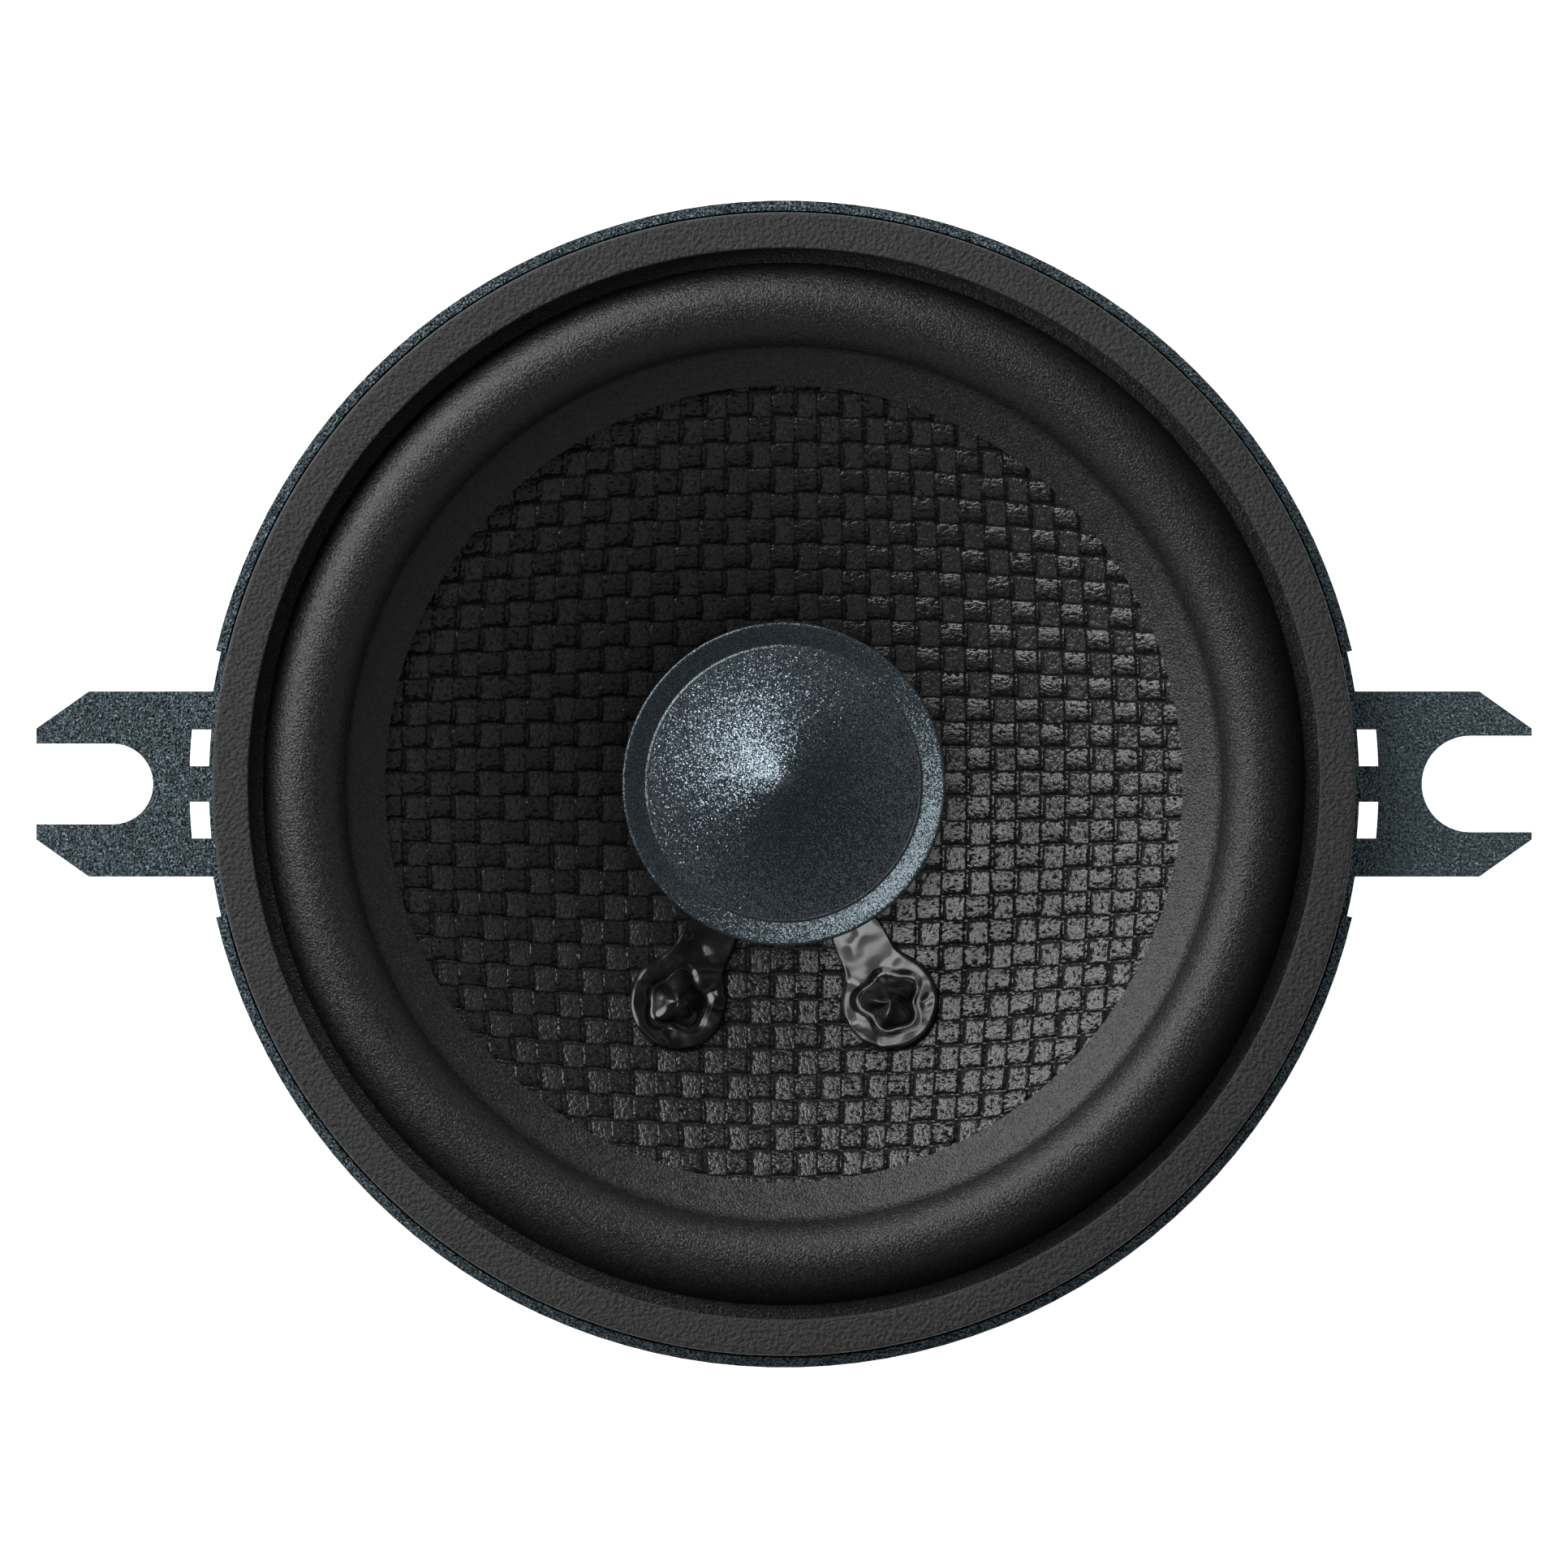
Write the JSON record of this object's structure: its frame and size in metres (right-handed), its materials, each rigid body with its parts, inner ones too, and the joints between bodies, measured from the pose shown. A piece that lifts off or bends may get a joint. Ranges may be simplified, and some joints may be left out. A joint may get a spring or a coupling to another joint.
{
  "type": "coaxial car speaker",
  "caption": "Small round coaxial car speaker: woven cone in a rubber roll surround, conical-dome tweeter on a post, pressed basket with slotted ears, ferrite motor and spades.",
  "frame": {"origin": "on the speaker's axis, in the plane of the flange's rear face, which meets the panel", "axes": "+Z the way the speaker fires, -Z into the panel; the mounting ears lie along X; the terminals are on the -Y side"},
  "size_m": [0.121, 0.0944, 0.0434],
  "materials": {
    "basket_paint": "hammered slate blue-grey powder coat, semi-matt",
    "gasket_foam": "matt pebbled closed-cell rubber",
    "surround_rubber": "satin butyl rubber with a fine grain",
    "woven_cone": "plain-woven black glass fibre in resin, glossy on the tows",
    "coil_former": "amber polyimide film",
    "copper": "enamelled copper wire",
    "dust_cloth": "black felt",
    "spider_cloth": "resin-dipped cotton cloth, straw yellow",
    "plated_steel": "zinc plated, turned",
    "ferrite": "ground ferrite, dark grey",
    "black_plastic": "moulded glass-filled nylon, matt",
    "bezel_paint": "fine metallic slate coating",
    "dome_film": "dark metallised film, fine sparkle",
    "clear_film": "thin polymer film",
    "neodymium": "nickel plated",
    "adhesive": "black contact adhesive, very glossy",
    "eyelet_brass": "bright brass",
    "tinned_brass": "tinned brass, satin",
    "tinsel_braid": "braided copper tinsel",
    "capacitor_sleeve": "dark blue shrink sleeve",
    "lead_red": "red insulation",
    "lead_black": "black insulation",
    "splice_sleeve": "black heat-shrink"
  },
  "bodies": {
    "frame": {"basket": "basket_paint", "basket_rivets": "plated_steel", "front_gasket": "gasket_foam", "surround": "surround_rubber", "spider": "spider_cloth", "top_plate": "plated_steel", "magnet": "ferrite", "pole_yoke": "plated_steel", "tweeter_post": "black_plastic", "tweeter_housing": "black_plastic", "tweeter_bezel": "bezel_paint", "tweeter_surround": "clear_film", "tweeter_cup": "plated_steel", "tweeter_magnet": "neodymium", "tweeter_pole_plate": "plated_steel", "terminal_holder": "black_plastic", "terminal_positive": "tinned_brass", "terminal_negative": "tinned_brass", "tinsel_lead_positive": "tinsel_braid", "tinsel_lead_negative": "tinsel_braid", "crossover_capacitor": "capacitor_sleeve", "capacitor_leads": "tinned_brass", "lead_splice": "splice_sleeve", "tweeter_lead_positive": "lead_red", "tweeter_lead_negative": "lead_black"},
    "cone_assembly": {"cone": "woven_cone", "voice_coil_former": "coil_former", "voice_coil_winding": "copper", "dust_ring": "dust_cloth", "lead_adhesive": "adhesive", "lead_eyelets": "eyelet_brass"},
    "tweeter_dome": {"tweeter_diaphragm": "dome_film", "tweeter_voice_coil": "copper"}
  },
  "joints": [
    {"name": "cone_excursion", "type": "slide", "parent": "frame", "child": "cone_assembly", "axis": [0, 0, 1], "range_m": [-0.0025, 0.0025], "stiffness_N_per_m": 1500, "deforming": ["surround", "spider", "tinsel_lead_positive", "tinsel_lead_negative"]},
    {"name": "tweeter_excursion", "type": "slide", "parent": "frame", "child": "tweeter_dome", "axis": [0, 0, 1], "range_m": [-0.0003, 0.0003], "stiffness_N_per_m": 60, "deforming": ["tweeter_surround"]}
  ]
}
